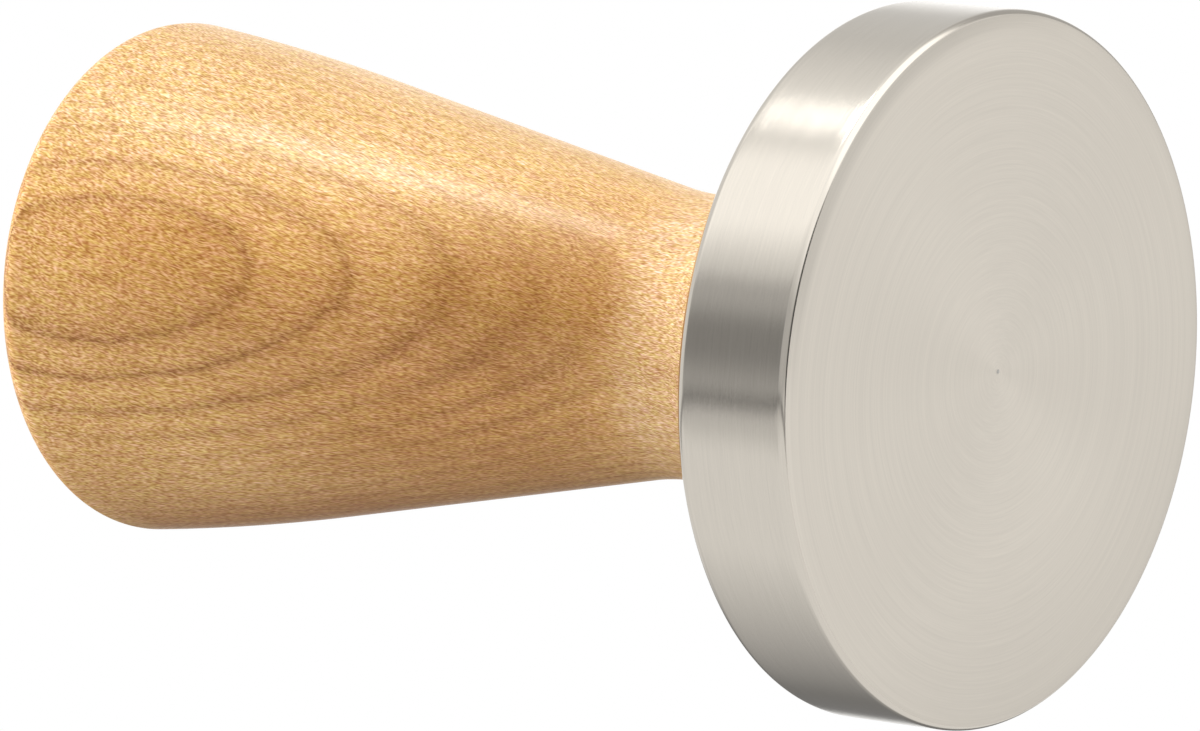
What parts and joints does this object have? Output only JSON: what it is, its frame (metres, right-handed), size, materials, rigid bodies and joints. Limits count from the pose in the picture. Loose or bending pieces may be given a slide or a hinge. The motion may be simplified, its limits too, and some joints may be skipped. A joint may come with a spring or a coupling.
{
  "type": "espresso tamper",
  "caption": "Espresso tamper: a flat turned steel base for a 58 mm filter basket, screwed to a tapered maple handle with a rounded end.",
  "frame": {"origin": "centre of the flat tamping face, which the tamper stands on", "axes": "+Z along the tamper's axis, from the tamping face to the end of the handle; X and Y are across the base"},
  "size_m": [0.058, 0.058, 0.089],
  "materials": {
    "stainless_steel": "fine turned satin, with polished edges",
    "stud_steel": "bright zinc-plated machine screw",
    "brass": "machined",
    "maple": "sanded and oiled, satin"
  },
  "bodies": {
    "base": {"tamping_base": "stainless_steel"},
    "stud": {"screw_stud": "stud_steel"},
    "handle": {"threaded_insert": "brass", "handle": "maple"}
  },
  "joints": [
    {"name": "stud_lift", "type": "slide", "parent": "base", "child": "stud", "axis": [0, 0, 1], "range_m": [0, 0.0075]},
    {"name": "handle_turn", "type": "hinge", "parent": "stud", "child": "handle", "pos_m": [0, 0, 0.0108], "axis": [0, 0, 1], "range_deg": [0, 2160]}
  ],
  "couplings": [
    {"joint": "stud_lift", "follows": "handle_turn", "m_per_rad": 0.00019894}
  ]
}
